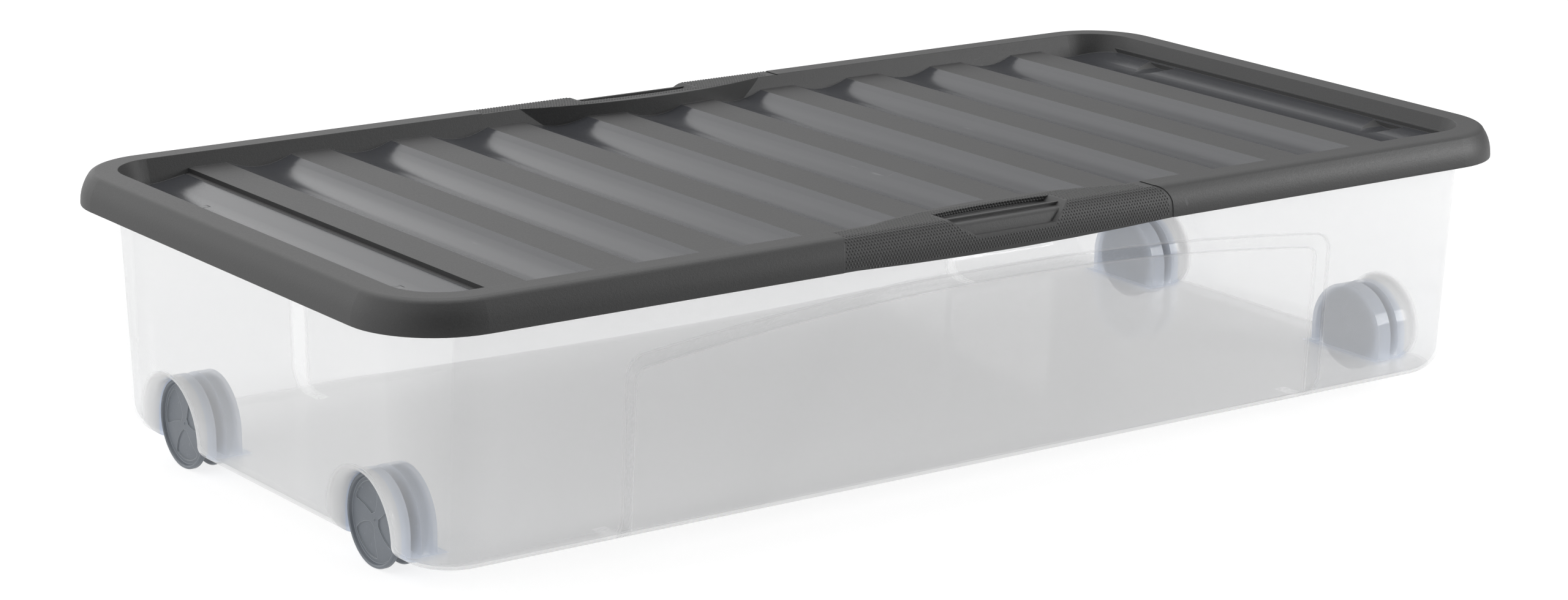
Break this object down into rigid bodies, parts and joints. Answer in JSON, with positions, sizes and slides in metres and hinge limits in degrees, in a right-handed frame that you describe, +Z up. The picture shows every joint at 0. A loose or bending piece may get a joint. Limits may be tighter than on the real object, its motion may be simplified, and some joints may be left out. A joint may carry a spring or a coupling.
{
  "type": "under bed box",
  "caption": "Shallow clear storage tub with a ribbed lift-off lid, side grips and twin-disc wheels recessed in its ends",
  "frame": {"origin": "on the floor, under the middle of the box", "axes": "+Z up, X along the box's length, -Y towards the front long side"},
  "size_m": [0.8, 0.4, 0.167],
  "materials": {
    "tub": "clear frosted polypropylene, lightly polished, satin on the band round each panel",
    "lid": "fine moulded grain; smoother in the grooves; fine raised dots on the grips",
    "wheel": "smooth satin grey",
    "axle": "plain drawn pin"
  },
  "bodies": {
    "tub": {"tub": "tub"},
    "lid": {"lid": "lid"},
    "left_front_wheel": {"left_front_outer_wheel": "wheel", "left_front_inner_wheel": "wheel", "left_front_axle": "axle"},
    "left_back_wheel": {"left_back_outer_wheel": "wheel", "left_back_inner_wheel": "wheel", "left_back_axle": "axle"},
    "right_front_wheel": {"right_front_outer_wheel": "wheel", "right_front_inner_wheel": "wheel", "right_front_axle": "axle"},
    "right_back_wheel": {"right_back_outer_wheel": "wheel", "right_back_inner_wheel": "wheel", "right_back_axle": "axle"}
  },
  "joints": [
    {"name": "lid_lift", "type": "slide", "parent": "tub", "child": "lid", "axis": [0, 0, 1], "range_m": [0, 0.2]},
    {"name": "left_front_roll", "type": "hinge", "parent": "tub", "child": "left_front_wheel", "pos_m": [-0.35595, -0.108, 0.0265], "axis": [1, 0, 0], "continuous": true},
    {"name": "left_back_roll", "type": "hinge", "parent": "tub", "child": "left_back_wheel", "pos_m": [-0.35595, 0.108, 0.0265], "axis": [1, 0, 0], "continuous": true},
    {"name": "right_front_roll", "type": "hinge", "parent": "tub", "child": "right_front_wheel", "pos_m": [0.35595, -0.108, 0.0265], "axis": [1, 0, 0], "continuous": true},
    {"name": "right_back_roll", "type": "hinge", "parent": "tub", "child": "right_back_wheel", "pos_m": [0.35595, 0.108, 0.0265], "axis": [1, 0, 0], "continuous": true}
  ]
}
